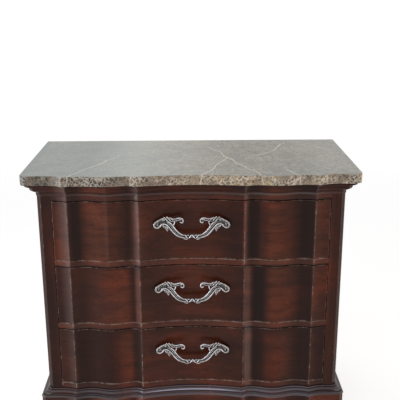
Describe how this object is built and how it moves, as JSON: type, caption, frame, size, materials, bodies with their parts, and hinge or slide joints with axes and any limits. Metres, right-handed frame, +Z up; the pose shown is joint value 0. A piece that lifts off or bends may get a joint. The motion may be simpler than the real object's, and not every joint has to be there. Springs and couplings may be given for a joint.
{
  "type": "bachelors chest",
  "caption": "Marble-topped bachelor's chest with a shaped front, stacked sliding drawers with cast pulls, and a bracket base.",
  "frame": {"origin": "middle of the chest's bounding box, on the floor", "axes": "+X to the right of someone facing the drawers, -Y out of the drawer fronts, +Z up"},
  "size_m": [1.016, 0.502, 0.87],
  "materials": {
    "mahogany": "gloss",
    "poplar": "matte",
    "panel_wood": "matte",
    "brown_marble": "polished",
    "antique_silver": "satin",
    "zinc_plated_steel": "satin"
  },
  "bodies": {
    "case": {"marble_top": "brown_marble", "cornice_front": "mahogany", "cornice_left": "mahogany", "cornice_right": "mahogany", "cornice_back": "mahogany", "top_rail": "mahogany", "top_board": "poplar", "side_panel_left": "mahogany", "side_panel_right": "mahogany", "stile_left": "mahogany", "stile_right": "mahogany", "back_panel": "poplar", "rail_1": "mahogany", "rail_2": "mahogany", "rail_3": "mahogany", "runner_1_left": "poplar", "runner_1_right": "poplar", "runner_2_left": "poplar", "runner_2_right": "poplar", "runner_3_left": "poplar", "runner_3_right": "poplar", "dust_panel_1": "panel_wood", "dust_panel_2": "panel_wood", "dust_panel_3": "panel_wood", "base_moulding_front": "mahogany", "base_moulding_left": "mahogany", "base_moulding_right": "mahogany", "base_back": "mahogany", "plinth_front": "mahogany", "plinth_left": "mahogany", "plinth_right": "mahogany", "plinth_back": "poplar", "corner_block_front_left": "poplar", "corner_block_front_right": "poplar", "corner_block_back_left": "poplar", "corner_block_back_right": "poplar"},
    "drawer_1": {"drawer_1_front": "mahogany", "drawer_1_side_left": "poplar", "drawer_1_side_right": "poplar", "drawer_1_back": "poplar", "drawer_1_bottom": "panel_wood", "drawer_1_pull": "antique_silver", "drawer_1_pull_bolt_left": "zinc_plated_steel", "drawer_1_pull_bolt_right": "zinc_plated_steel"},
    "drawer_2": {"drawer_2_front": "mahogany", "drawer_2_side_left": "poplar", "drawer_2_side_right": "poplar", "drawer_2_back": "poplar", "drawer_2_bottom": "panel_wood", "drawer_2_pull": "antique_silver", "drawer_2_pull_bolt_left": "zinc_plated_steel", "drawer_2_pull_bolt_right": "zinc_plated_steel"},
    "drawer_3": {"drawer_3_front": "mahogany", "drawer_3_side_left": "poplar", "drawer_3_side_right": "poplar", "drawer_3_back": "poplar", "drawer_3_bottom": "panel_wood", "drawer_3_pull": "antique_silver", "drawer_3_pull_bolt_left": "zinc_plated_steel", "drawer_3_pull_bolt_right": "zinc_plated_steel"}
  },
  "joints": [
    {"name": "drawer_1_slide", "type": "slide", "parent": "case", "child": "drawer_1", "axis": [0, -1, 0], "range_m": [0, 0.33]},
    {"name": "drawer_2_slide", "type": "slide", "parent": "case", "child": "drawer_2", "axis": [0, -1, 0], "range_m": [0, 0.33]},
    {"name": "drawer_3_slide", "type": "slide", "parent": "case", "child": "drawer_3", "axis": [0, -1, 0], "range_m": [0, 0.33]}
  ]
}
